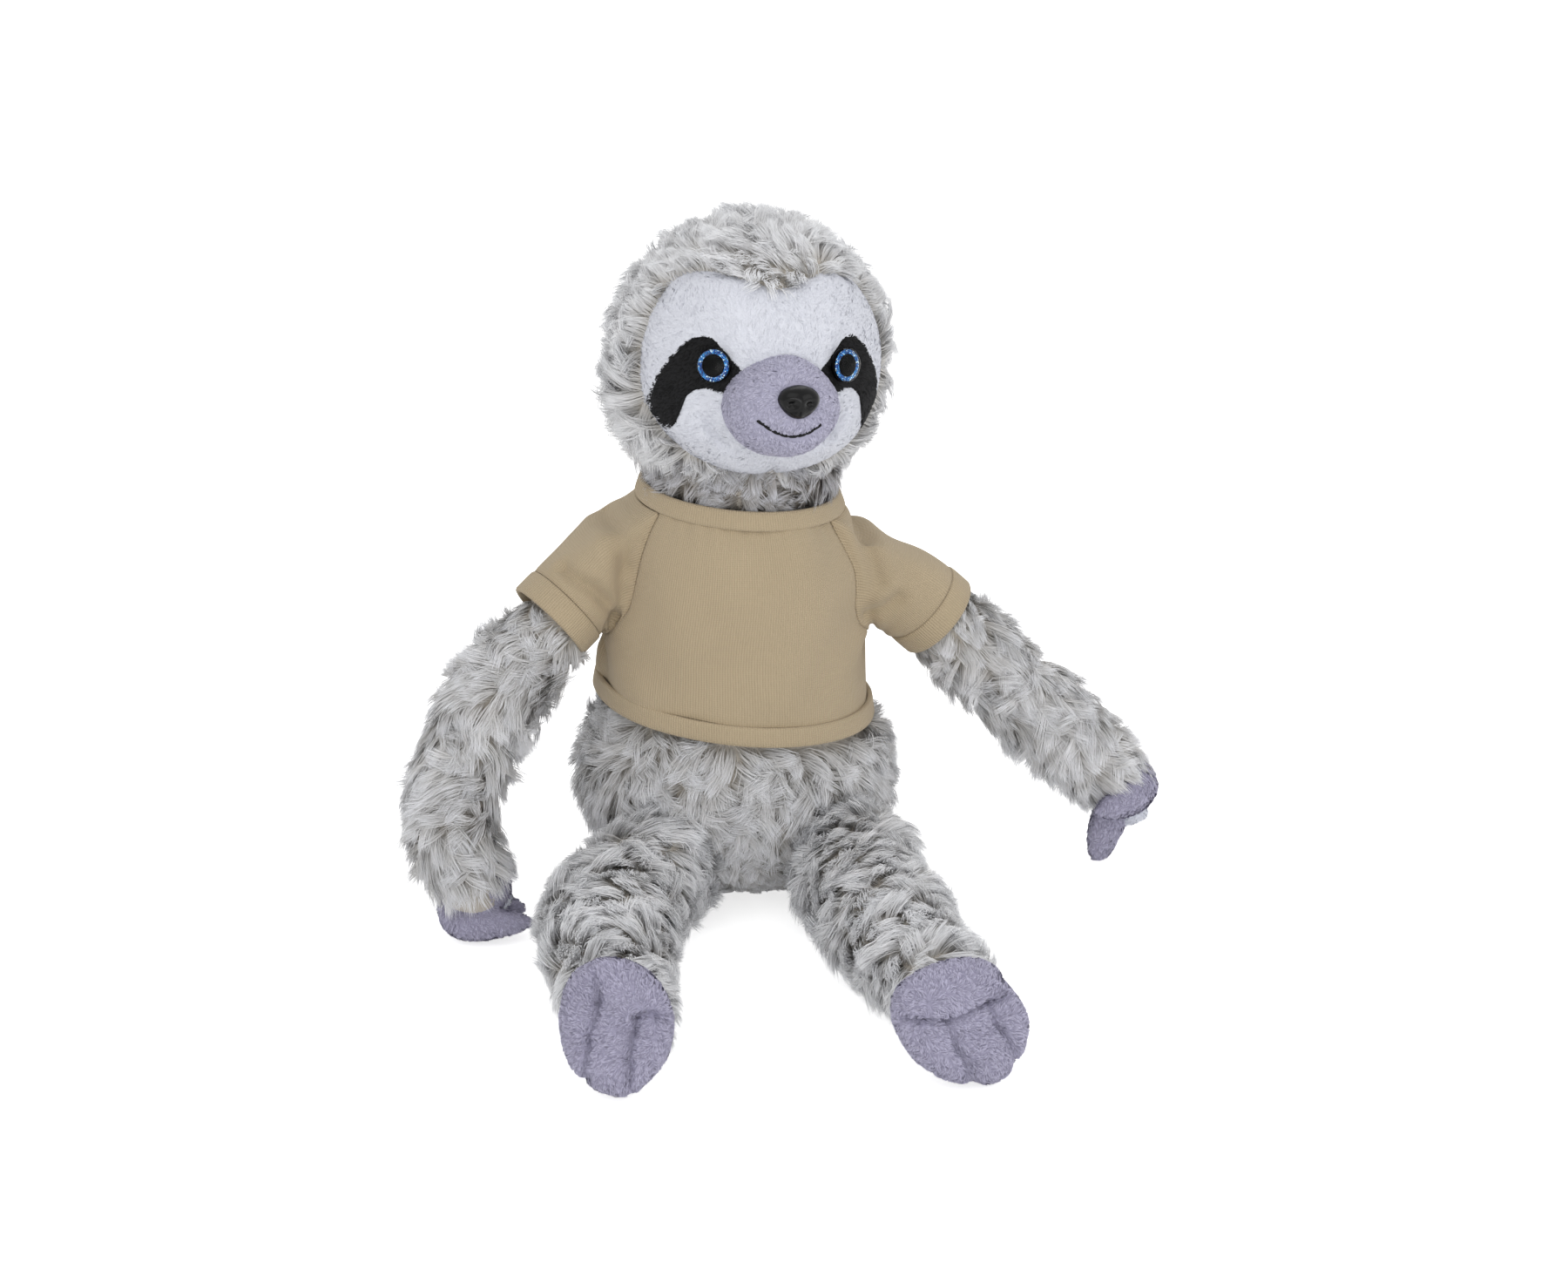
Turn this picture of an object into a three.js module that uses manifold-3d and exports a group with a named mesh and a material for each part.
// A seated plush sloth in a knitted shirt. Millimetres, +Z up, the toy looks along -Y.
// The origin is the middle of the flat that the seat rests on. The toy's right side is at -X.
import * as THREE from 'three';
import { mergeVertices } from 'three/addons/utils/BufferGeometryUtils.js';
import Module from 'manifold-3d';

const wasm = await Module();
wasm.setup();

// Clearances and cuts
const SEAM_GAP = 0.3; // between pieces that are sewn or pressed together
const JOINT_GAP = 0.15; // between a root that turns and the socket round it
const LAYER_GAP = 0.1; // between the moulded layers of an eye
const OVERRUN = 40; // how far a cutting solid runs past what it cuts

// Cloth
const FUR_WALL = 7; // fur cloth with its pile pressed to half its depth
const PLUSH_WALL = 2; // short plush on the muzzle
const KNIT_WALL = 1.4; // shirt jersey
const BAND_WALL = 2; // doubled jersey of the bands and cuffs

// Torso: a pear that stands on its flat seat
const TORSO_HEIGHT = 158;
const HIP_HALF_WIDTH = 58;
const BELLY_HALF_DEPTH = 50;
const SEAT_CUT = 0.5; // how deep the seat is pressed flat
const POUCH_TOP = 34; // height of the pellet pouch inside the seat
const torsoShares = [ // height, half width, half depth
  [0, 0.5, 0.5], [0.026, 0.74, 0.73], [0.08, 0.88, 0.87], [0.16, 0.965, 0.96],
  [0.27, 1, 1], [0.37, 0.955, 0.97],
  [0.455, 0.83, 0.88], [0.6, 0.8, 0.84], [0.7, 0.765, 0.785], [0.79, 0.71, 0.715], [0.87, 0.635, 0.64],
  [0.94, 0.53, 0.545], [0.98, 0.36, 0.38], [1, 0.1, 0.1],
];

// Head: a ball on a neck ball that is sunk into both head and torso
const HEAD_RADIUS = 51; // over the half-pressed pile
const HEAD_ACROSS = 4; // to the toy's left of the seat's middle
const HEAD_FORWARD = 3;
const HEAD_UP = 201;
const HEAD_YAW = 6.5; // degrees, towards the toy's left
const HEAD_ROLL = 3.4; // degrees, its crown towards the toy's left
const HEAD_LIFT = 4; // degrees, chin up
const NECK_RADIUS = 30;
const NECK_DROP = 38; // from the head's centre to the neck's pivot
const NECK_HOLE_RADIUS = 14;
const NOD_RANGE = 20; // degrees each way

// Face, in the head's own frame, where the face looks along -Y
const FACE_RADIUS = 48; // over the short plush
const FACE_HALF_WIDTH = 43.6;
const FACE_HALF_HEIGHT = 35;
const FACE_DROP = 2; // middle of the panel below the head's centre
const faceShares = [ // half of the outline: across, up
  [0, 0.83], [0.25, 0.92], [0.5, 0.985], [0.72, 0.9], [0.87, 0.68], [0.97, 0.35], [1, 0.01], [0.94, -0.31],
  [0.79, -0.6], [0.55, -0.83], [0.27, -0.965], [0, -1],
];
const PATCH_OUT = 27; // middle of an eye patch from the middle of the face
const PATCH_HALF_WIDTH = 13.8;
const PATCH_HALF_HEIGHT = 17.2;
const PATCH_DROP = 3.1;
const patchShares = [ // across away from the nose, up
  [-0.17, 1], [-0.5, 0.98], [-0.98, 0.46], [-0.75, 0.05], [-0.52, -0.1], [0.02, -0.07], [0.33, -0.33],
  [0.53, -0.99], [0.83, -0.82], [0.99, -0.39], [0.78, 0.2], [0.31, 0.8],
];
const MUZZLE_HALF_WIDTH = 20;
const MUZZLE_REACH = 20;
const MUZZLE_HALF_HEIGHT = 17.3;
const MUZZLE_FORWARD = 44;
const MUZZLE_DROP = 8.5;
const MOUTH_HALF_WIDTH = 11.3;
const MOUTH_DROP = 8.6; // lowest stitch below the muzzle's middle
const MOUTH_RISE = 5; // how far its corners turn up
const THREAD_RADIUS = 0.5;

// Safety nose and eyes: moulded heads with a shank and a washer behind the cloth
const NOSE_HALF_WIDTH = 7.3;
const NOSE_HALF_HEIGHT = 6.1;
const NOSE_HALF_DEPTH = 5;
const NOSE_UP = 4.1; // above the muzzle's middle
const NOSTRIL_RADIUS = 1.7;
const nostrilShares = [0.42, 0.92, -0.28]; // of the nose's half width, depth and height
const SHANK_RADIUS = 1.75;
const SHANK_HOLE_RADIUS = 2.2;
const NOSE_SHANK = 9;
const NOSE_WASHER_RADIUS = 3.8;
const NOSE_WASHER_DEPTH = 7; // behind the middle of the nose, clear of the muzzle's curve
const WASHER_RADIUS = 5;
const WASHER_THICKNESS = 1.1;
const WASHER_POCKET = 4.5; // depth of the hollow that the washer and shank press into the stuffing
const EYE_RADIUS = 6;
const EYE_OUT = 22.7; // from the middle of the face
const EYE_UP = 4.9; // above the head's centre
const EYE_BASE = 1.2;
const EYE_SHANK = 8.5;
const PUPIL_RADIUS = 3.6;
const GLITTER_DEPTH = 0.6;
const EYE_DOME = 3;

// Arms: one bowed, one stretched, each in two lengths that bend at the elbow
const SHOULDER_OUT = 46;
const SHOULDER_FORWARD = 2;
const SHOULDER_UP = 124;
const ARM_LENGTH = 140;
const ARM_ROOT_RADIUS = 15.5; // pressed by the sleeve
const ARM_RADIUS = 16.4;
const ELBOW_RADIUS = 16.8;
const ARM_DROP = 14; // degrees that an arm sinks at the shoulder, pressed against the shirt
const WRIST_RADIUS = 14.8;
const armShares = { // shoulder, cuff, elbow, forearm, wrist: out, forward, down
  right: [
    [0, 0, 0], [0.186, 0.079, 0.157], [0.357, 0.157, 0.336], [0.439, 0.25, 0.564], [0.393, 0.3, 0.769],
  ],
  left: [
    [0, 0, 0], [0.186, -0.014, 0.157], [0.354, -0.021, 0.314], [0.536, -0.021, 0.482], [0.718, -0.021, 0.65],
  ],
};
const elbowShare = 0.5; // of the curve through those places
const cuffShare = 0.265;
const cuffStartShare = 0.205;
const forearmEndShare = 0.96; // the forearm ends just short of the wrist's pivot

// Hands: a palm and two long fingers, out, forward and down from the wrist in shares of the hand's length
const HAND_LENGTH = 36;
const PALM_RADIUS = 11.5;
const FINGER_RADIUS = 7.8;
const FINGER_TIP_RADIUS = 5.2;
const handShares = {
  right: [
    [[0, 0, 0], [0.2, 0.02, 0.2], [0.1, 0.27, 0.26], [-0.36, 0.32, 0.26]],
    [[0, 0, 0], [0.1, -0.14, 0.22], [-0.16, -0.06, 0.26], [-0.48, 0, 0.2]],
  ],
  left: [
    [[0, 0, 0], [0.18, 0.14, 0.1], [0.04, 0.36, 0.22], [-0.28, 0.46, 0.28]],
    [[0, 0, 0], [0.14, 0, 0.3], [0, 0.06, 0.56], [-0.2, 0.1, 0.74]],
  ],
};
const PAD_RADIUS = 6; // hook-and-loop pad in the palm
const PAD_WALL = 1.6;
const padShares = { // way from the wrist to the pad: out, forward, down
  right: [-0.72, 0.12, 0.68],
  left: [-0.1, 0.62, 0.78],
};

// Legs and feet: stretched forward on the floor, soles up towards the viewer
const HIP_OUT = 36;
const HIP_FORWARD = 46;
const HIP_UP = 25;
const HIP_RADIUS = 24.2;
const LEG_LENGTH = 106;
const CALF_RADIUS = 19.5;
const ANKLE_RADIUS = 17.5;
const legSpreadShares = { right: 0.19, left: 0.17 }; // how far the ankle stands out, of the leg's length
const ANKLE_DROP = 2;
const HIP_LIFT = 35; // degrees that a leg lifts from the floor
const ANKLE_BEND = 20; // degrees each way
const FOOT_HALF_WIDTH = 20.5;
const FOOT_HALF_HEIGHT = 23;
const FOOT_HALF_DEPTH = 10;
const FOOT_FORWARD = 17; // from the ankle's pivot to the middle of the foot
const FOOT_LEAN = 14; // degrees, toes forward of the heel
const TOE_GROOVE = 1.6; // depth of the two stitched lines between the toes
const toeShares = [-0.34, 0.34]; // where those lines lie, of the half width
const FLOOR_GAP = 0.3; // between the lying limbs and the floor

// Shirt
const HEM_UP = 72;
const HEM_BAND = 7.5;
const NECKBAND_TOP = 153;
const NECKBAND_HEIGHT = 8;
const SHIRT_EASE = 4.2; // how far the neck stands off the torso
const easeShares = [[0, 0.12], [0.35, 0.12], [0.6, 0.3], [0.85, 0.75], [1, 1]]; // height, share of the ease
const SLEEVE_EASE = 0.5;

const COLOURS = {
  fur: [0xc9c6c1, 0.95],
  stuffing: [0xf2f2f0, 1],
  pellets: [0xd8d2c4, 0.8],
  facePlush: [0xe4e6ee, 0.95],
  patchPlush: [0x191919, 0.95],
  mauvePlush: [0xa59dae, 0.95],
  muzzlePlush: [0xbdb6c2, 0.95],
  knit: [0xb9a57d, 0.9],
  blackPlastic: [0x101012, 0.2],
  clearPlastic: [0xdfe8f0, 0.05],
  glitter: [0x4a86d8, 0.35],
  washer: [0xe8e8e4, 0.5],
  thread: [0x141414, 0.8],
  hook: [0xe6e8ec, 0.9],
};
const SIDE_SIGN = { right: -1, left: 1 };
const AHEAD = new THREE.Vector3(0, -1, 0);
const BEHIND = new THREE.Vector3(0, 1, 0);
const LEFTWARD = new THREE.Vector3(1, 0, 0);

// Solids
function mergedOf(geometry) {
  const plain = geometry.clone();
  plain.deleteAttribute('normal');
  plain.deleteAttribute('uv');
  return mergeVertices(plain);
}

function solidOf(geometry) {
  const merged = mergedOf(geometry);
  return new wasm.Manifold(new wasm.Mesh({
    numProp: 3,
    vertProperties: new Float32Array(merged.attributes.position.array),
    triVerts: new Uint32Array(merged.index.array),
  }));
}

function geometryOf(solid) {
  const mesh = solid.getMesh();
  const geometry = new THREE.BufferGeometry();
  geometry.setAttribute('position', new THREE.BufferAttribute(mesh.vertProperties, 3));
  geometry.setIndex(new THREE.BufferAttribute(mesh.triVerts, 1));
  return geometry;
}

function cut(solid, ...tools) {
  return tools.reduce((left, tool) => left.subtract(tool), solid);
}

function join(first, ...others) {
  return others.reduce((whole, other) => whole.add(other), first);
}

function largest(solid) {
  return solid.decompose().reduce((most, piece) => (piece.volume() > most.volume() ? piece : most));
}

function turned(solid, pivot, axis, degrees) {
  const turn = new THREE.Matrix4().makeRotationAxis(axis, THREE.MathUtils.degToRad(degrees));
  const geometry = geometryOf(solid);
  geometry.translate(-pivot.x, -pivot.y, -pivot.z);
  geometry.applyMatrix4(turn);
  geometry.translate(pivot.x, pivot.y, pivot.z);
  return solidOf(geometry);
}

// A closed skin over rings of points, which run anticlockwise about the way they follow each other
function skinOver(start, rings, end) {
  const points = [start, ...rings.flat(), end];
  const sides = rings[0].length;
  const last = points.length - 1;
  const index = [];
  for (let side = 0; side < sides; side += 1) {
    const next = (side + 1) % sides;
    index.push(0, 1 + next, 1 + side);
    for (let row = 0; row < rings.length - 1; row += 1) {
      const a = 1 + row * sides;
      const b = a + sides;
      index.push(a + side, a + next, b + side, a + next, b + next, b + side);
    }
    const top = 1 + (rings.length - 1) * sides;
    index.push(last, top + side, top + next);
  }
  const geometry = new THREE.BufferGeometry();
  geometry.setAttribute('position', new THREE.Float32BufferAttribute(points.flatMap((p) => p.toArray()), 3));
  geometry.setIndex(index);
  return solidOf(geometry);
}

function ringAt(centre, across, away, halfWidth, halfDepth, sides) {
  return Array.from({ length: sides }, (unused, side) => {
    const angle = (2 * Math.PI * side) / sides;
    return centre.clone()
      .addScaledVector(across, halfWidth * Math.cos(angle))
      .addScaledVector(away, halfDepth * Math.sin(angle));
  });
}

function egg(centre, radii, sides, rows) {
  const geometry = new THREE.SphereGeometry(1, sides, rows);
  geometry.rotateX(Math.PI / 2);
  geometry.scale(...radii);
  geometry.translate(...centre.toArray());
  return solidOf(geometry);
}

function ball(centre, radius, sides = 20, rows = 12) {
  return egg(centre, [radius, radius, radius], sides, rows);
}

// A ball whose flats, not its corners, keep the radius: room for a true ball
function roomBall(centre, radius, sides = 20, rows = 12) {
  return ball(centre, radius / (Math.cos(Math.PI / sides) * Math.cos(Math.PI / rows / 2)), sides, rows);
}

function block(low, high) {
  const size = high.clone().sub(low);
  const geometry = new THREE.BoxGeometry(size.x, size.y, size.z);
  geometry.translate(...low.clone().addScaledVector(size, 1 / 2).toArray());
  return solidOf(geometry);
}

// A value read from a table of rows, with smooth passages between them
function smoothAt(rows, place) {
  let i = 0;
  while (i < rows.length - 2 && place > rows[i + 1][0]) i += 1;
  const [a, b] = [rows[i], rows[i + 1]];
  const before = rows[Math.max(i - 1, 0)];
  const after = rows[Math.min(i + 2, rows.length - 1)];
  const step = b[0] - a[0];
  const s = Math.min(Math.max((place - a[0]) / step, 0), 1);
  return a.slice(1).map((value, k) => {
    const next = b[k + 1];
    const leaving = ((next - before[k + 1]) / (b[0] - before[0])) * step;
    const arriving = ((after[k + 1] - value) / (after[0] - a[0])) * step;
    const ease = s * s * (3 - 2 * s);
    return value + (next - value) * ease + s * (1 - s) * ((1 - s) * leaving - s * arriving);
  });
}

// Torso and shirt sections at one height, grown outwards by a wall or a gap
function torsoHalves(height, grow) {
  const [width, depth] = smoothAt(torsoShares, height / TORSO_HEIGHT);
  return [width * HIP_HALF_WIDTH + grow, depth * BELLY_HALF_DEPTH + grow];
}

function torsoForm(grow, low, high, sides, rows) {
  const rings = [];
  for (let row = 0; row <= rows; row += 1) {
    const height = low + ((high - low) * row) / rows;
    const [width, depth] = torsoHalves(height, grow);
    rings.push(ringAt(new THREE.Vector3(0, 0, height), LEFTWARD, BEHIND, width, depth, sides));
  }
  return skinOver(new THREE.Vector3(0, 0, low), rings, new THREE.Vector3(0, 0, high));
}

function shirtForm(grow, low, high, rows) {
  const sides = 20;
  const rings = [];
  for (let row = 0; row <= rows; row += 1) {
    const height = low + ((high - low) * row) / rows;
    const share = smoothAt(easeShares, (height - HEM_UP) / (NECKBAND_TOP - HEM_UP))[0];
    const [width, depth] = torsoHalves(height, SEAM_GAP + share * SHIRT_EASE + grow);
    rings.push(ringAt(new THREE.Vector3(0, 0, height), LEFTWARD, BEHIND, width, depth, sides));
  }
  return skinOver(new THREE.Vector3(0, 0, low), rings, new THREE.Vector3(0, 0, high));
}

// A limb along a part of a curve: round ends unless a flat one is asked for, and with the flats, not the
// corners, on its radius where it is room for something
function limb(curve, from, to, sizeAt, {
  sides = 14, steps = 5, capRows = 3, flatEnd = false, room = false,
} = {}) {
  const flats = room ? Math.cos(Math.PI / sides) * Math.cos(Math.PI / capRows / 4) : 1;
  const radiusAt = (share) => sizeAt(share) / flats;
  const rings = [];
  const frameAt = (t) => {
    const along = curve.getTangent(t);
    const aside = Math.abs(along.y) > Math.SQRT1_2 ? LEFTWARD : AHEAD;
    const across = new THREE.Vector3().crossVectors(along, aside).normalize();
    const away = new THREE.Vector3().crossVectors(along, across);
    return { centre: curve.getPoint(t), along, across, away };
  };
  const ring = ({ centre, across, away }, radius) => ringAt(centre, across, away, radius, radius, sides);
  const first = frameAt(from);
  const last = frameAt(to);
  const firstRadius = radiusAt(0);
  const lastRadius = radiusAt(1);
  for (let row = 1; row < capRows; row += 1) {
    const angle = (Math.PI / 2) * (row / capRows);
    const centre = first.centre.clone().addScaledVector(first.along, -firstRadius * Math.cos(angle));
    rings.push(ring({ ...first, centre }, firstRadius * Math.sin(angle)));
  }
  for (let step = 0; step <= steps; step += 1) {
    rings.push(ring(frameAt(from + ((to - from) * step) / steps), radiusAt(step / steps)));
  }
  for (let row = capRows - 1; row > 0 && !flatEnd; row -= 1) {
    const angle = (Math.PI / 2) * (row / capRows);
    const centre = last.centre.clone().addScaledVector(last.along, lastRadius * Math.cos(angle));
    rings.push(ring({ ...last, centre }, lastRadius * Math.sin(angle)));
  }
  const start = first.centre.clone().addScaledVector(first.along, -firstRadius);
  const end = last.centre.clone().addScaledVector(last.along, flatEnd ? 0 : lastRadius);
  return skinOver(start, rings, end);
}

function outlineCut(outline, from, to) {
  const shape = new THREE.Shape(outline);
  const geometry = new THREE.ExtrudeGeometry(shape, { depth: to - from, bevelEnabled: false });
  geometry.rotateX(Math.PI / 2);
  geometry.translate(0, -from, 0);
  return solidOf(geometry);
}

// A smooth closed outline through points, offset outwards by a gap
function smoothOutline(points, count, gap) {
  const curve = new THREE.CatmullRomCurve3(points.map(([x, y]) => new THREE.Vector3(x, y, 0)), true);
  const clockwise = THREE.ShapeUtils.isClockWise(curve.getPoints(count));
  return Array.from({ length: count }, (unused, i) => {
    const point = curve.getPoint(i / count);
    const along = curve.getTangent(i / count);
    const side = clockwise ? -1 : 1;
    return new THREE.Vector2(point.x + side * along.y * gap, point.y - side * along.x * gap);
  });
}

function turnedPiece(profile, sides) {
  return new THREE.LatheGeometry(profile.map(([radius, along]) => new THREE.Vector2(radius, along)), sides);
}

// The scene graph
const toy = new THREE.Group();

function add(parent, name, shape, finish) {
  const [color, roughness] = COLOURS[finish];
  const material = new THREE.MeshStandardMaterial({ color, roughness, metalness: 0 });
  const geometry = shape.isBufferGeometry ? shape : geometryOf(shape);
  const mesh = new THREE.Mesh(geometry, material);
  mesh.name = name;
  parent.add(mesh);
  return mesh;
}

// Places of the joints
const headCentre = new THREE.Vector3(HEAD_ACROSS, -HEAD_FORWARD, HEAD_UP);
const neckPivot = new THREE.Vector3(HEAD_ACROSS, -HEAD_FORWARD, HEAD_UP - NECK_DROP);
const headGroup = new THREE.Group();
headGroup.position.copy(headCentre);
headGroup.rotation.set(...[-HEAD_LIFT, HEAD_ROLL, HEAD_YAW].map(THREE.MathUtils.degToRad), 'ZXY');
headGroup.updateMatrix();
const intoHead = headGroup.matrix.clone().invert();
toy.add(headGroup);

function armCurve(side) {
  const points = armShares[side].map(([out, forward, down]) => new THREE.Vector3(
    SIDE_SIGN[side] * (SHOULDER_OUT + out * ARM_LENGTH),
    -SHOULDER_FORWARD - forward * ARM_LENGTH,
    SHOULDER_UP - down * ARM_LENGTH,
  ));
  return new THREE.CatmullRomCurve3(points);
}

function hipPivot(side) {
  return new THREE.Vector3(SIDE_SIGN[side] * HIP_OUT, -HIP_FORWARD, HIP_UP);
}

function anklePivot(side) {
  return hipPivot(side).add(new THREE.Vector3(
    SIDE_SIGN[side] * legSpreadShares[side] * LEG_LENGTH, -LEG_LENGTH, -ANKLE_DROP,
  ));
}

// Arms
function armPieces(side) {
  const curve = armCurve(side);
  const elbow = curve.getPoint(elbowShare);
  const wrist = curve.getPoint(1);
  const sleeved = cuffShare / elbowShare;
  const upperRadius = (share) => (share < sleeved
    ? ARM_ROOT_RADIUS
    : THREE.MathUtils.lerp(ARM_ROOT_RADIUS, ARM_RADIUS, Math.min((share - sleeved) / sleeved, 1)));
  const lowerRadius = (share) => THREE.MathUtils.lerp(ELBOW_RADIUS, WRIST_RADIUS, share);
  const upperArm = (grow, detail) => limb(
    curve, 0, elbowShare, (share) => upperRadius(share) + grow, { flatEnd: true, ...detail },
  );
  const forearm = (grow, detail) => limb(
    curve, elbowShare, forearmEndShare, (share) => lowerRadius(share) + grow, { flatEnd: true, ...detail },
  );
  const coarse = { sides: 10, steps: 3, capRows: 2 };
  const elbowRoom = roomBall(elbow, ELBOW_RADIUS + JOINT_GAP, 16, 10);
  const wristRoom = roomBall(wrist, PALM_RADIUS + JOINT_GAP, 12, 8);
  const upperSkin = cut(upperArm(0, {}), upperArm(-FUR_WALL, coarse), elbowRoom);
  add(toy, `${side}_upper_arm_skin`, upperSkin, 'fur');
  const upperFilling = cut(upperArm(-FUR_WALL - SEAM_GAP, coarse), elbowRoom);
  add(toy, `${side}_upper_arm_stuffing`, upperFilling, 'stuffing');
  add(toy, `${side}_forearm_skin`, cut(forearm(0, {}), forearm(-FUR_WALL, coarse), wristRoom), 'fur');
  add(toy, `${side}_forearm_stuffing`, cut(forearm(-FUR_WALL - SEAM_GAP, coarse), wristRoom), 'stuffing');
  handPieces(side, wrist);
}

function handPieces(side, wrist) {
  const fingers = handShares[side].map((finger) => new THREE.CatmullRomCurve3(
    finger.map(([out, forward, down]) => wrist.clone().add(new THREE.Vector3(
      SIDE_SIGN[side] * out * HAND_LENGTH, -forward * HAND_LENGTH, -down * HAND_LENGTH,
    ))),
  ));
  const radiusAt = (share) => THREE.MathUtils.lerp(FINGER_RADIUS, FINGER_TIP_RADIUS, share * share);
  const palm = ball(wrist, PALM_RADIUS, 12, 8);
  const finger = (curve, grow, detail) => limb(
    curve, 0, 1, (share) => radiusAt(share) + grow, { sides: 8, steps: 5, ...detail },
  );
  const hand = join(palm, ...fingers.map((curve) => finger(curve, 0, { capRows: 2 })));
  add(toy, `${side}_hand`, hand, 'mauvePlush');
  const [out, forward, down] = padShares[side];
  const padMiddle = wrist.clone().add(new THREE.Vector3(
    SIDE_SIGN[side] * out * PALM_RADIUS, -forward * PALM_RADIUS, -down * PALM_RADIUS,
  ));
  const over = ball(wrist, PALM_RADIUS + SEAM_GAP + PAD_WALL, 16, 10);
  const raised = over.intersect(ball(padMiddle, PAD_RADIUS, 12, 8));
  const room = join(
    roomBall(wrist, PALM_RADIUS + SEAM_GAP, 12, 8),
    ...fingers.map((curve) => finger(curve, SEAM_GAP, { room: true })),
  );
  add(toy, `${side}_palm_pad`, largest(cut(raised, room)), 'hook');
}

function sleevePieces(side) {
  const curve = armCurve(side);
  const inside = ARM_ROOT_RADIUS + SLEEVE_EASE;
  const tube = (from, to, radius) => limb(curve, from, to, () => radius, { steps: 2, flatEnd: true });
  const body = shirtForm(KNIT_WALL + SEAM_GAP, HEM_UP, NECKBAND_TOP, 8);
  const bore = tube(0, elbowShare, inside);
  const gapShare = SEAM_GAP / ARM_LENGTH;
  const past = tube(0, cuffStartShare, inside + OVERRUN);
  const sleeve = cut(tube(0, cuffStartShare - gapShare, inside + KNIT_WALL), bore, body);
  const cuff = cut(tube(0, cuffShare, inside + BAND_WALL), bore, past);
  add(toy, `${side}_sleeve`, sleeve, 'knit');
  add(toy, `${side}_cuff`, cuff, 'knit');
}

// How the sleeve and its arm sweep past the torso and the shirt
function sleeveRoom(side) {
  const curve = armCurve(side);
  const radius = ARM_ROOT_RADIUS + SLEEVE_EASE + KNIT_WALL + JOINT_GAP;
  const room = limb(curve, 0, elbowShare, () => radius, { steps: 2, capRows: 4, room: true });
  return [room, turned(room, curve.getPoint(0), AHEAD, SIDE_SIGN[side] * -ARM_DROP)];
}

// Legs and feet
function footForm(side, grow) {
  const geometry = mergedOf(new THREE.SphereGeometry(1, 18, 12));
  geometry.rotateX(Math.PI / 2);
  const place = geometry.attributes.position;
  for (let i = 0; i < place.count; i += 1) {
    const [x, y, z] = [place.getX(i), place.getY(i), place.getZ(i)];
    const nearest = Math.min(...toeShares.map((share) => Math.abs(x - share)));
    const groove = y < 0 ? Math.max(1 - nearest / toeShares[1], 0) * Math.max(1 / 2 - z, 0) * TOE_GROOVE : 0;
    place.setXYZ(
      i,
      x * (FOOT_HALF_WIDTH + grow),
      y * (FOOT_HALF_DEPTH + grow) + groove,
      z * (FOOT_HALF_HEIGHT + grow),
    );
  }
  geometry.rotateX(THREE.MathUtils.degToRad(-FOOT_LEAN));
  const ankle = anklePivot(side);
  geometry.translate(ankle.x, ankle.y - FOOT_FORWARD, FOOT_HALF_HEIGHT + FLOOR_GAP);
  return solidOf(geometry);
}

function legSolid(side, grow, detail) {
  const hip = hipPivot(side);
  const ankle = anklePivot(side);
  const curve = new THREE.LineCurve3(hip, ankle);
  const radiusRows = [[0, HIP_RADIUS], [0.45, HIP_RADIUS * 0.97], [0.8, CALF_RADIUS], [1, ANKLE_RADIUS]];
  return limb(curve, 0, 1, (share) => smoothAt(radiusRows, share)[0] + grow, detail);
}

function legPieces(side) {
  const ankle = anklePivot(side);
  const fine = { sides: 16, steps: 5 };
  const coarse = { sides: 10, steps: 3, capRows: 2 };
  const footGrown = footForm(side, JOINT_GAP);
  const bends = [-ANKLE_BEND, 0, ANKLE_BEND];
  const footSweep = bends.map((degrees) => turned(footGrown, ankle, LEFTWARD, degrees));
  const skin = cut(legSolid(side, 0, fine), legSolid(side, -FUR_WALL, coarse), ...footSweep);
  add(toy, `${side}_leg_skin`, skin, 'fur');
  const filling = cut(legSolid(side, -FUR_WALL - SEAM_GAP, coarse), ...footSweep);
  add(toy, `${side}_leg_stuffing`, filling, 'stuffing');
  add(toy, `${side}_foot`, footForm(side, 0), 'mauvePlush');
}

// Where a leg sweeps, so that the torso leaves room for it
function legRoom(side, sides) {
  const grown = legSolid(side, JOINT_GAP, { sides, steps: 2, capRows: 4, room: true });
  return [0, HIP_LIFT].map((degrees) => turned(grown, hipPivot(side), LEFTWARD, -degrees));
}

// Where the head sweeps as it nods and turns
function headRoom(sides) {
  const tilt = THREE.MathUtils.degToRad(NOD_RANGE);
  const out = NECK_DROP * Math.sin(tilt);
  const up = NECK_DROP * Math.cos(tilt);
  const radius = (HEAD_RADIUS + JOINT_GAP) / Math.cos(Math.PI / sides);
  const profile = [[0, up - radius]];
  const rows = 6;
  for (let row = 0; row <= rows; row += 1) {
    const angle = (Math.PI / 2) * (row / rows);
    profile.push([out + radius * Math.sin(angle), up - radius * Math.cos(angle)]);
  }
  profile.push([0, up]);
  const geometry = turnedPiece(profile, sides);
  geometry.rotateX(Math.PI / 2);
  geometry.translate(...neckPivot.toArray());
  return solidOf(geometry);
}

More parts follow.
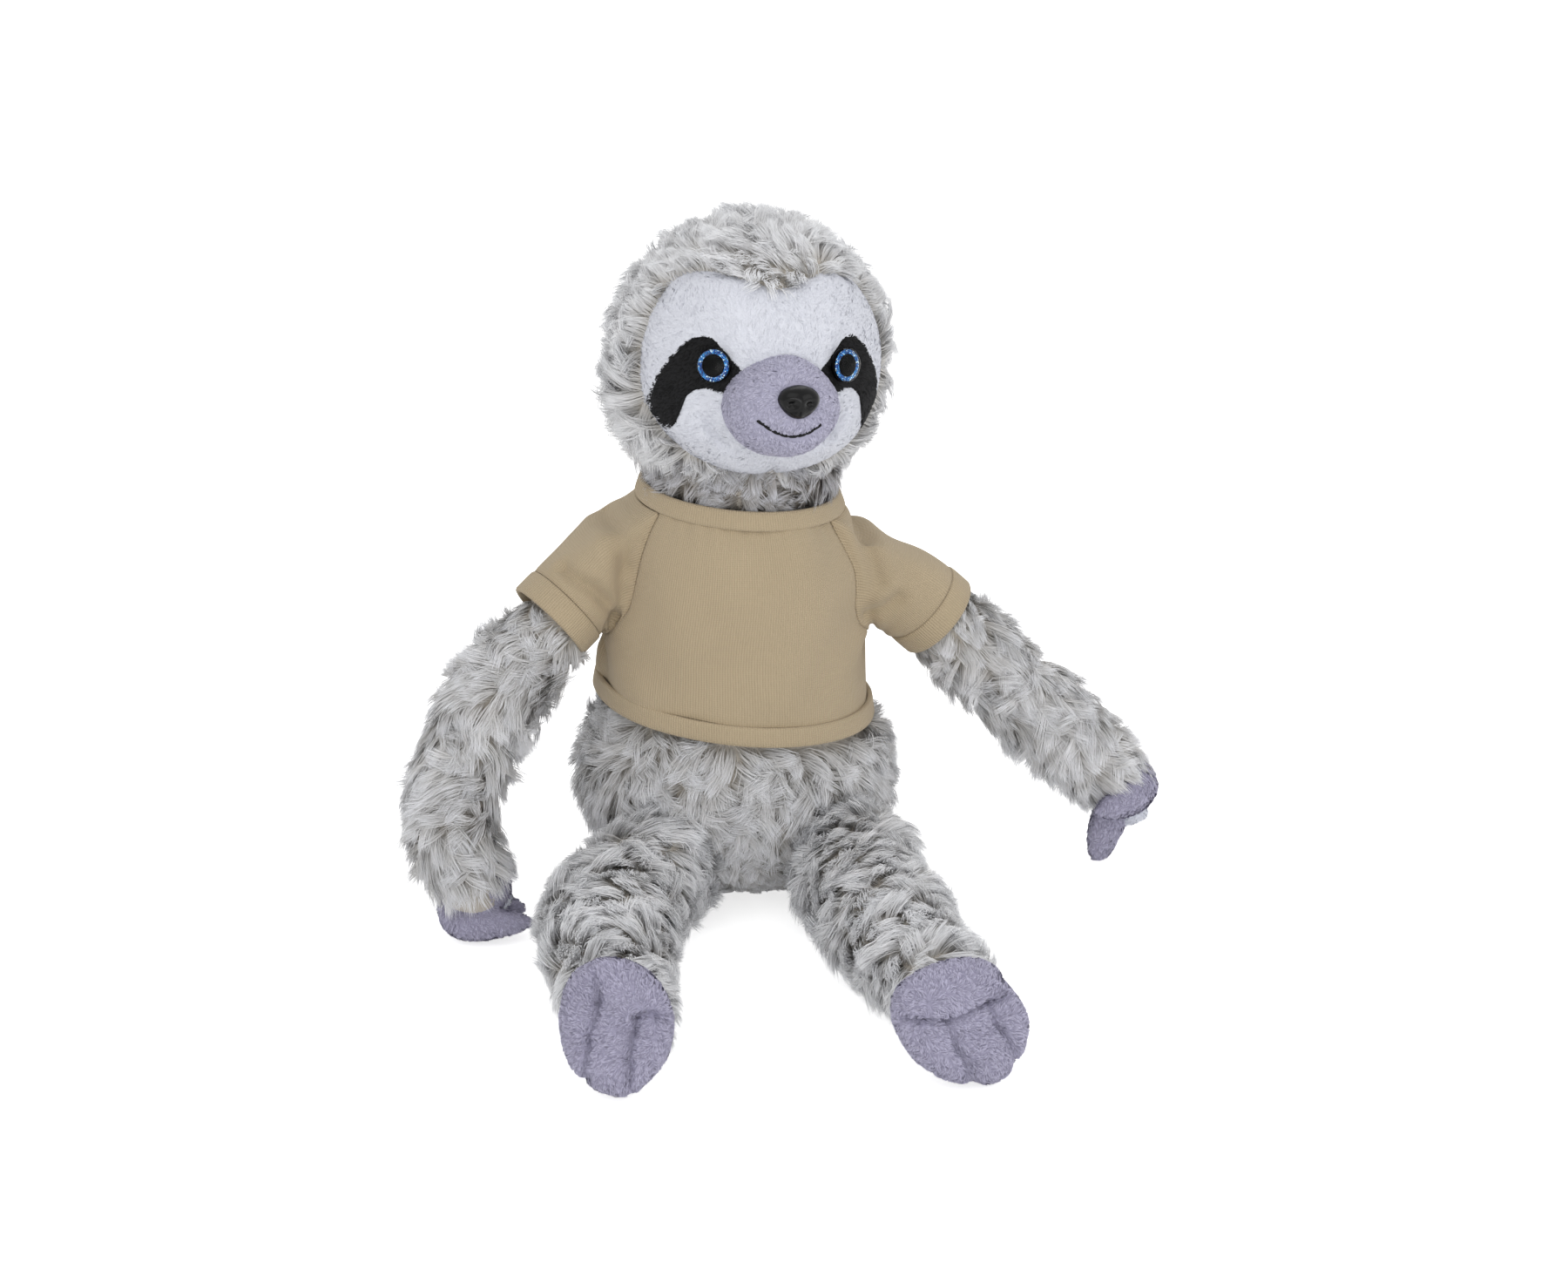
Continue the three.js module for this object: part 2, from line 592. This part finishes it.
// Torso, its filling, and the shirt over it
function torsoPieces() {
  const roomsWith = (sides) => [
    roomBall(neckPivot, NECK_RADIUS + JOINT_GAP, sides, 10), headRoom(sides),
    ...['right', 'left'].flatMap((side) => [...sleeveRoom(side), ...legRoom(side, sides)]),
  ];
  const rooms = roomsWith(9);
  const plainRooms = roomsWith(6);
  const outer = torsoForm(0, -SEAT_CUT, TORSO_HEIGHT, 20, 9);
  const inner = (gap) => torsoForm(-FUR_WALL - gap, FUR_WALL + gap, TORSO_HEIGHT - FUR_WALL, 10, 5);
  const split = (low, high) => block(
    new THREE.Vector3(-HIP_HALF_WIDTH, -HIP_HALF_WIDTH, low),
    new THREE.Vector3(HIP_HALF_WIDTH, HIP_HALF_WIDTH, high),
  );
  add(toy, 'torso_skin', cut(outer, inner(0), split(-OVERRUN, 0), ...rooms), 'fur');
  const filling = cut(inner(SEAM_GAP), ...plainRooms);
  add(toy, 'torso_stuffing', cut(filling, split(-OVERRUN, POUCH_TOP)), 'stuffing');
  add(toy, 'pellet_pouch', cut(filling, split(POUCH_TOP - SEAM_GAP, TORSO_HEIGHT)), 'pellets');
}

function shirtPieces() {
  const rooms = [headRoom(12), ...sleeveRoom('right'), ...sleeveRoom('left')];
  const panelLow = HEM_UP + HEM_BAND + SEAM_GAP;
  const panelHigh = NECKBAND_TOP - NECKBAND_HEIGHT - SEAM_GAP;
  const shell = (low, high, wall, rows) => cut(
    shirtForm(wall, low, high, rows), shirtForm(0, low - SEAM_GAP, high + SEAM_GAP, rows),
  );
  const body = cut(shell(panelLow, panelHigh, KNIT_WALL, 4), ...rooms);
  const half = (near, far) => block(
    new THREE.Vector3(-HIP_HALF_WIDTH * 2, near, 0),
    new THREE.Vector3(HIP_HALF_WIDTH * 2, far, TORSO_HEIGHT),
  );
  add(toy, 'shirt_front', cut(body, half(-SEAM_GAP / 2, HIP_HALF_WIDTH * 2)), 'knit');
  add(toy, 'shirt_back', cut(body, half(-HIP_HALF_WIDTH * 2, SEAM_GAP / 2)), 'knit');
  add(toy, 'shirt_hem', shell(HEM_UP, HEM_UP + HEM_BAND, BAND_WALL, 2), 'knit');
  const neckband = shell(NECKBAND_TOP - NECKBAND_HEIGHT, NECKBAND_TOP, BAND_WALL, 2);
  add(toy, 'shirt_neckband', cut(neckband, ...rooms), 'knit');
}

// Neck
function neckPieces() {
  const through = new THREE.CylinderGeometry(NECK_HOLE_RADIUS, NECK_HOLE_RADIUS, OVERRUN * 2, 12);
  through.rotateX(Math.PI / 2);
  through.translate(...neckPivot.toArray());
  const inside = NECK_RADIUS - FUR_WALL;
  const skin = cut(ball(neckPivot, NECK_RADIUS, 18, 10), ball(neckPivot, inside, 10, 6), solidOf(through));
  add(toy, 'neck_skin', skin, 'fur');
  add(toy, 'neck_stuffing', ball(neckPivot, inside - SEAM_GAP, 10, 6), 'stuffing');
}

// Head, in its own frame
function mirrored(shares) {
  const mirror = shares.slice(1, -1).reverse().map(([across, up]) => [-across, up]);
  return [...shares, ...mirror];
}

function faceOutline(gap) {
  const points = mirrored(faceShares).map(([across, up]) => [
    across * FACE_HALF_WIDTH, up * FACE_HALF_HEIGHT - FACE_DROP,
  ]);
  return smoothOutline(points, 28, gap);
}

function patchOutline(side, gap) {
  const points = patchShares.map(([across, up]) => [
    SIDE_SIGN[side] * (PATCH_OUT + across * PATCH_HALF_WIDTH), up * PATCH_HALF_HEIGHT - PATCH_DROP,
  ]);
  return smoothOutline(points, 18, gap);
}

function eyeDirection(side) {
  const forward = Math.sqrt(FACE_RADIUS ** 2 - EYE_OUT ** 2 - EYE_UP ** 2);
  return new THREE.Vector3(SIDE_SIGN[side] * EYE_OUT, -forward, EYE_UP).normalize();
}

// Turns a lathed piece, whose axis is Y, so that it looks out of the face from a place on it
function lookingOut(geometry, direction, distance) {
  const turn = new THREE.Quaternion().setFromUnitVectors(new THREE.Vector3(0, 1, 0), direction);
  geometry.translate(0, distance, 0);
  geometry.applyQuaternion(turn);
  return geometry;
}

function eyePieces(side) {
  const direction = eyeDirection(side);
  const seat = FACE_RADIUS + SEAM_GAP;
  const put = (name, profile, finish, sides = 14) => add(
    headGroup, `${side}_eye_${name}`, lookingOut(turnedPiece(profile, sides), direction, seat), finish,
  );
  const ringTop = EYE_BASE + LAYER_GAP + GLITTER_DEPTH;
  const domeSeat = ringTop + LAYER_GAP;
  put('base', [
    [0, -EYE_SHANK], [SHANK_RADIUS, -EYE_SHANK], [SHANK_RADIUS, 0], [EYE_RADIUS, 0], [EYE_RADIUS, EYE_BASE],
    [PUPIL_RADIUS, EYE_BASE], [PUPIL_RADIUS, ringTop], [0, ringTop],
  ], 'blackPlastic');
  const ringInside = PUPIL_RADIUS + LAYER_GAP;
  put('glitter', [
    [ringInside, EYE_BASE + LAYER_GAP], [EYE_RADIUS, EYE_BASE + LAYER_GAP], [EYE_RADIUS, ringTop],
    [ringInside, ringTop], [ringInside, EYE_BASE + LAYER_GAP],
  ], 'glitter');
  const domeRows = 4;
  const dome = [[0, domeSeat]];
  for (let row = 0; row < domeRows; row += 1) {
    const angle = (Math.PI / 2) * (row / domeRows);
    dome.push([EYE_RADIUS * Math.cos(angle), domeSeat + EYE_DOME * Math.sin(angle)]);
  }
  dome.push([0, domeSeat + EYE_DOME]);
  put('dome', dome, 'clearPlastic');
  const washerFace = -(FACE_RADIUS - headHollow() + SEAM_GAP * 2);
  put('washer', washerProfile(WASHER_RADIUS, washerFace), 'washer', 12);
}

function washerProfile(radius, face) {
  const bore = SHANK_RADIUS + LAYER_GAP;
  return [
    [bore, face - WASHER_THICKNESS], [radius, face - WASHER_THICKNESS], [radius, face],
    [bore, face], [bore, face - WASHER_THICKNESS],
  ];
}

function headHollow() {
  return HEAD_RADIUS - FUR_WALL;
}

function headPieces() {
  const middle = new THREE.Vector3();
  const neck = neckPivot.clone().applyMatrix4(intoHead);
  const hollow = roomBall(middle, headHollow(), 14, 8);
  const window = outlineCut(faceOutline(SEAM_GAP), 0, HEAD_RADIUS + OVERRUN);
  const neckRoom = roomBall(neck, NECK_RADIUS + JOINT_GAP, 12, 8);
  add(headGroup, 'head_skin', cut(ball(middle, HEAD_RADIUS, 22, 13), hollow, window, neckRoom), 'fur');

  const drill = (radius, from, to, direction) => solidOf(lookingOut(
    turnedPiece([[0, 0], [radius, 0], [radius, to - from], [0, to - from]], 10), direction, from,
  ));
  const pocketFrom = headHollow() - SEAM_GAP * 2 - WASHER_THICKNESS - WASHER_POCKET;
  const pockets = ['right', 'left'].map((side) => drill(
    WASHER_RADIUS + SEAM_GAP, pocketFrom, HEAD_RADIUS, eyeDirection(side),
  ));
  const core = ball(middle, headHollow() - SEAM_GAP, 14, 8);
  add(headGroup, 'head_stuffing', cut(core, neckRoom, ...pockets), 'stuffing');

  const plush = cut(ball(middle, FACE_RADIUS, 22, 13), hollow, neckRoom);
  const panel = plush.intersect(outlineCut(faceOutline(0), 0, HEAD_RADIUS));
  const patchHole = (side) => outlineCut(patchOutline(side, SEAM_GAP), 0, HEAD_RADIUS);
  add(headGroup, 'face_panel', cut(panel, patchHole('right'), patchHole('left')), 'facePlush');
  ['right', 'left'].forEach((side) => {
    const shankHole = drill(SHANK_HOLE_RADIUS, pocketFrom, HEAD_RADIUS, eyeDirection(side));
    const patch = plush.intersect(outlineCut(patchOutline(side, 0), 0, HEAD_RADIUS));
    add(headGroup, `${side}_eye_patch`, cut(patch, shankHole), 'patchPlush');
    eyePieces(side);
  });
}

function muzzlePieces() {
  const middle = new THREE.Vector3(0, -MUZZLE_FORWARD, -MUZZLE_DROP);
  const radii = [MUZZLE_HALF_WIDTH, MUZZLE_REACH, MUZZLE_HALF_HEIGHT];
  const dome = (grow, sides, rows) => egg(middle, radii.map((radius) => radius + grow), sides, rows);
  const face = roomBall(new THREE.Vector3(), FACE_RADIUS + SEAM_GAP, 20, 12);
  const surfaceY = (x, z, grow) => {
    const across = x / (MUZZLE_HALF_WIDTH + grow);
    const up = z / (MUZZLE_HALF_HEIGHT + grow);
    return -MUZZLE_FORWARD - (MUZZLE_REACH + grow) * Math.sqrt(1 - across ** 2 - up ** 2);
  };
  const noseMiddle = new THREE.Vector3(0, surfaceY(0, NOSE_UP, 0), NOSE_UP - MUZZLE_DROP);
  const noseRadii = [NOSE_HALF_WIDTH, NOSE_HALF_DEPTH, NOSE_HALF_HEIGHT];
  const noseForm = (grow) => egg(noseMiddle, noseRadii.map((radius) => radius + grow), 14, 8);
  const post = (radius, length, start) => {
    const geometry = new THREE.CylinderGeometry(radius, radius, length, 10);
    geometry.translate(noseMiddle.x, noseMiddle.y + start + length / 2, noseMiddle.z);
    return solidOf(geometry);
  };
  const nostrils = [-1, 1].map((sign) => {
    const [across, ahead, up] = nostrilShares;
    const place = new THREE.Vector3(
      sign * across * NOSE_HALF_WIDTH, -ahead * NOSE_HALF_DEPTH, up * NOSE_HALF_HEIGHT,
    );
    return ball(noseMiddle.clone().add(place), NOSTRIL_RADIUS, 8, 5);
  });
  const hole = post(SHANK_HOLE_RADIUS, OVERRUN, 0);
  const pocket = post(NOSE_WASHER_RADIUS + SEAM_GAP, NOSE_WASHER_DEPTH + WASHER_POCKET, 0);
  const shell = cut(dome(0, 18, 10), dome(-PLUSH_WALL, 12, 7), face, noseForm(SEAM_GAP), hole);
  add(headGroup, 'muzzle', shell, 'muzzlePlush');
  const stuffing = cut(dome(-PLUSH_WALL - SEAM_GAP, 12, 7), face, noseForm(SEAM_GAP), pocket);
  add(headGroup, 'muzzle_stuffing', stuffing, 'stuffing');
  const nose = cut(join(noseForm(0), post(SHANK_RADIUS, NOSE_SHANK, 0)), ...nostrils);
  add(headGroup, 'nose', nose, 'blackPlastic');
  const washer = turnedPiece(washerProfile(NOSE_WASHER_RADIUS, 0), 12);
  washer.translate(noseMiddle.x, noseMiddle.y + NOSE_WASHER_DEPTH + WASHER_THICKNESS, noseMiddle.z);
  add(headGroup, 'nose_washer', washer, 'washer');

  const stitches = 14;
  const places = Array.from({ length: stitches + 1 }, (unused, i) => {
    const share = (2 * i) / stitches - 1;
    const x = share * MOUTH_HALF_WIDTH;
    const z = -MOUTH_DROP + MOUTH_RISE * share ** 2;
    return new THREE.Vector3(x, surfaceY(x, z, THREAD_RADIUS + SEAM_GAP), z - MUZZLE_DROP);
  });
  const section = new THREE.Shape().absarc(0, 0, THREAD_RADIUS, 0, 2 * Math.PI);
  const route = new THREE.CatmullRomCurve3(places);
  const thread = { extrudePath: route, steps: stitches, curveSegments: 3, bevelEnabled: false };
  add(headGroup, 'mouth_stitch', new THREE.ExtrudeGeometry(section, thread), 'thread');
}

torsoPieces();
shirtPieces();
neckPieces();
headPieces();
muzzlePieces();
['right', 'left'].forEach((side) => {
  armPieces(side);
  sleevePieces(side);
  legPieces(side);
});

export default toy;
